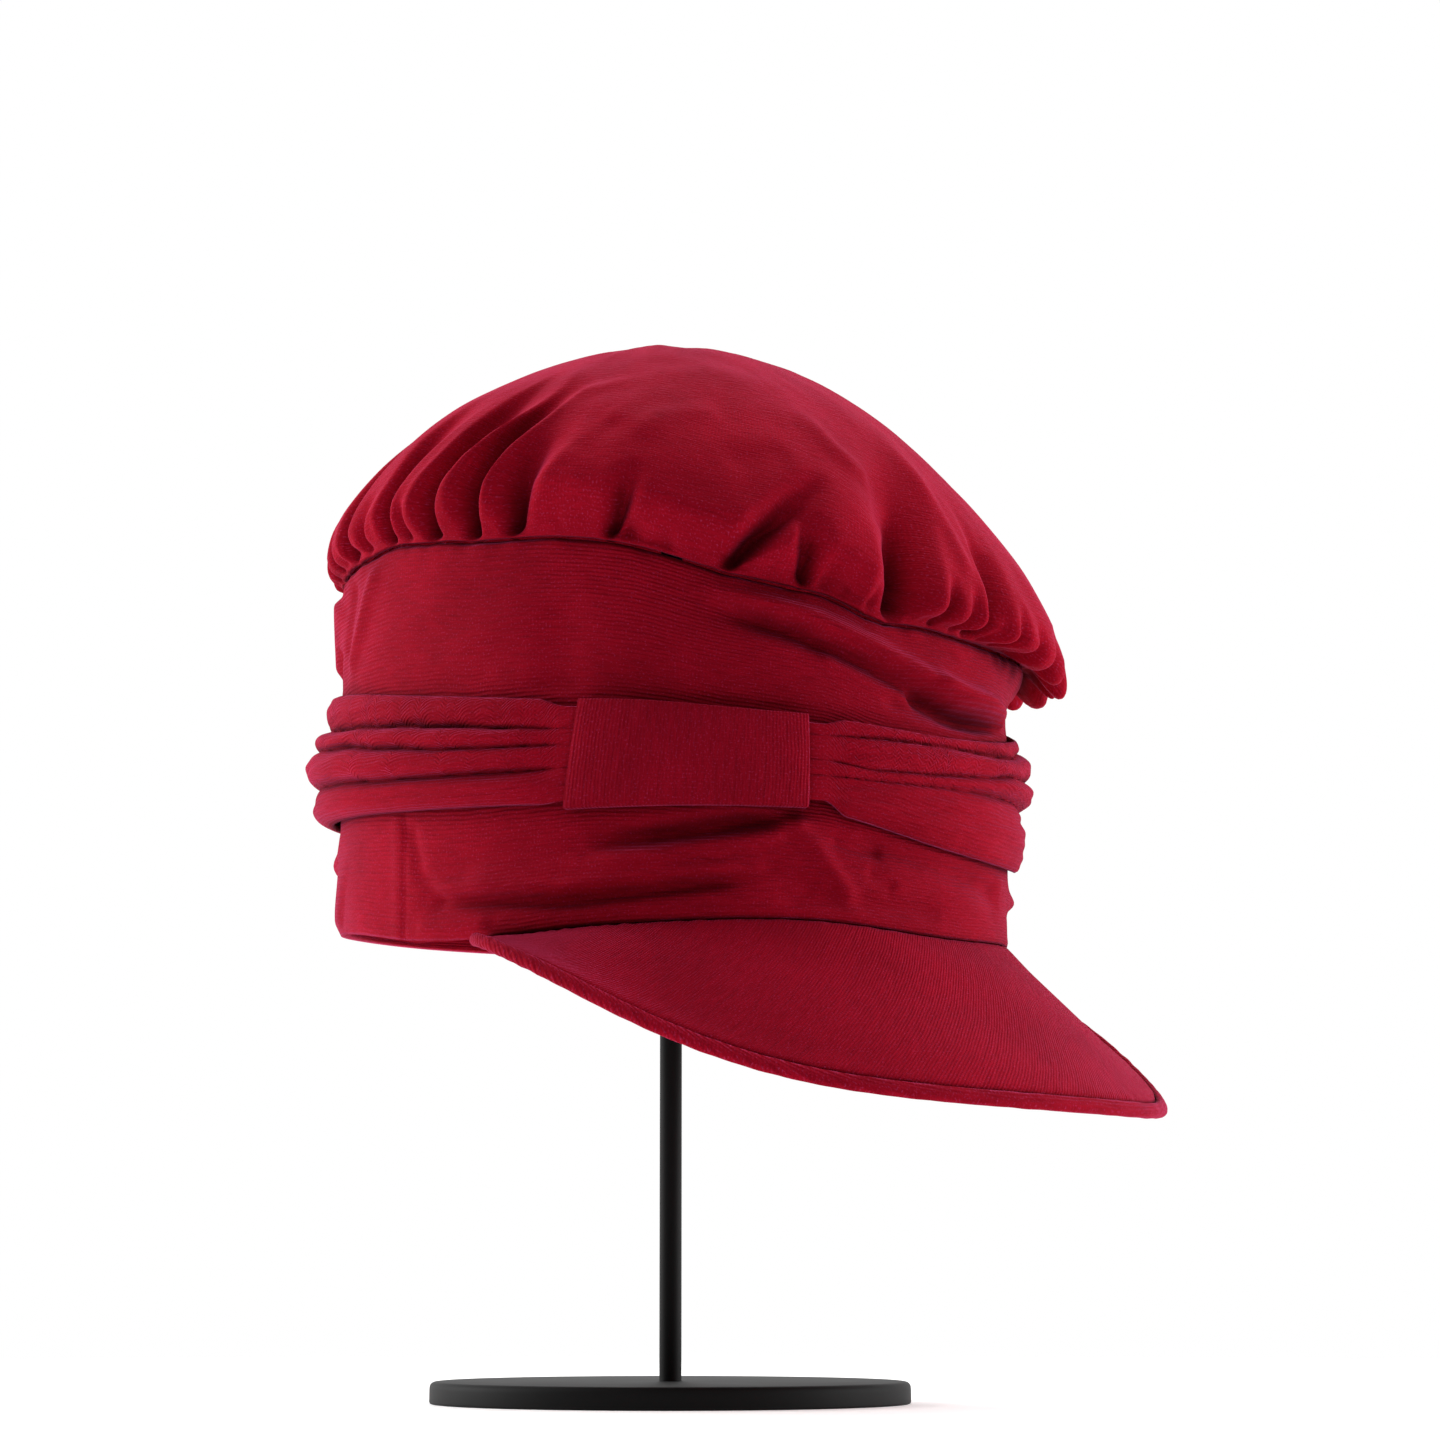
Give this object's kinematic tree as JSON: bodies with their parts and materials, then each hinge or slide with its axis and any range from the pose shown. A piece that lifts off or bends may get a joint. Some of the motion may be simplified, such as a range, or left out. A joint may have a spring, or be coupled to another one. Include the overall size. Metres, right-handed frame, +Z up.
{
  "type": "chemo cap on a display stand",
  "caption": "Soft knitted cap with a full gathered crown, a pleated sash drawn through a keeper, and a sloping peak, resting on a short display stand.",
  "frame": {"origin": "centre of the stand's foot on the floor, under the rod", "axes": "+Z up; the peak points to -Y; the keeper is on the wearer's right, -X"},
  "size_m": [0.2098, 0.2461, 0.289],
  "materials": {
    "crown": "matt, soft cotton knit",
    "band": "matt, soft cotton knit",
    "sash": "matt, soft cotton knit",
    "keeper": "matt, soft cotton knit",
    "peak_cover": "matt, soft cotton knit",
    "peak_facing": "matt, soft cotton knit",
    "stand_foot": "satin black",
    "stand_rod": "satin black",
    "stand_rest": "matt black"
  },
  "bodies": {
    "root": {"crown": "crown", "band": "band", "sash": "sash", "keeper": "keeper", "peak_cover": "peak_cover", "peak_facing": "peak_facing", "stand_foot": "stand_foot", "stand_rod": "stand_rod", "stand_rest": "stand_rest"}
  },
  "joints": []
}
